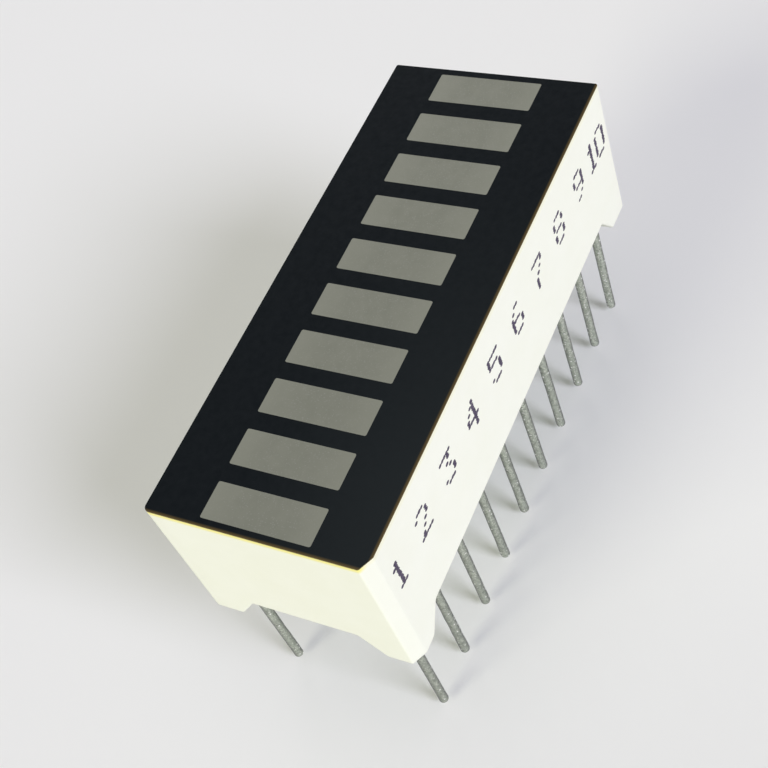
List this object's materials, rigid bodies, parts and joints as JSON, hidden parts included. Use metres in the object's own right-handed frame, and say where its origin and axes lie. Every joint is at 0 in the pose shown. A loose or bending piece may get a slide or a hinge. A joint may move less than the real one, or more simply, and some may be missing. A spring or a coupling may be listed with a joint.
{
  "type": "led bar graph",
  "caption": "Flat black-faced bar graph display with grey diffused bars, a white standing housing and two rows of round solder pins.",
  "frame": {"origin": "centre of the two rows of pins, in the plane of the feet's soles", "axes": "+X along the body from bar 1 to bar 10, +Y across it from the row of pins 1 to 10 to the other row, +Z out of the face; pin 1 and the cut corner are at -X, -Y"},
  "size_m": [0.0252, 0.01, 0.0146],
  "materials": {
    "white_plastic": "moulded white thermoplastic, satin",
    "black_film": "matt black printed film, faintly mottled",
    "diffused_epoxy": "grey tinted epoxy with fine diffuser, semi-matt on the face",
    "board_laminate": "green lacquered glass-fibre laminate",
    "copper": "bare copper",
    "solder": "bright tin solder",
    "silver_glue": "silver-filled epoxy",
    "chip_crystal": "diced semiconductor crystal",
    "gold_wire": "drawn gold",
    "tinned_pin": "dull hot-tinned steel, slightly lumpy"
  },
  "bodies": {
    "root": {"reflector_housing": "white_plastic", "housing_feet": "white_plastic", "face_film": "black_film", "epoxy_fill": "diffused_epoxy", "circuit_board": "board_laminate", "copper_tracks": "copper", "solder_joints": "solder", "chip_glue": "silver_glue", "led_chip_01": "chip_crystal", "led_chip_02": "chip_crystal", "led_chip_03": "chip_crystal", "led_chip_04": "chip_crystal", "led_chip_05": "chip_crystal", "led_chip_06": "chip_crystal", "led_chip_07": "chip_crystal", "led_chip_08": "chip_crystal", "led_chip_09": "chip_crystal", "led_chip_10": "chip_crystal", "bond_wire_01": "gold_wire", "bond_wire_02": "gold_wire", "bond_wire_03": "gold_wire", "bond_wire_04": "gold_wire", "bond_wire_05": "gold_wire", "bond_wire_06": "gold_wire", "bond_wire_07": "gold_wire", "bond_wire_08": "gold_wire", "bond_wire_09": "gold_wire", "bond_wire_10": "gold_wire", "pin_01": "tinned_pin", "pin_02": "tinned_pin", "pin_03": "tinned_pin", "pin_04": "tinned_pin", "pin_05": "tinned_pin", "pin_06": "tinned_pin", "pin_07": "tinned_pin", "pin_08": "tinned_pin", "pin_09": "tinned_pin", "pin_10": "tinned_pin", "pin_11": "tinned_pin", "pin_12": "tinned_pin", "pin_13": "tinned_pin", "pin_14": "tinned_pin", "pin_15": "tinned_pin", "pin_16": "tinned_pin", "pin_17": "tinned_pin", "pin_18": "tinned_pin", "pin_19": "tinned_pin", "pin_20": "tinned_pin"}
  },
  "joints": []
}
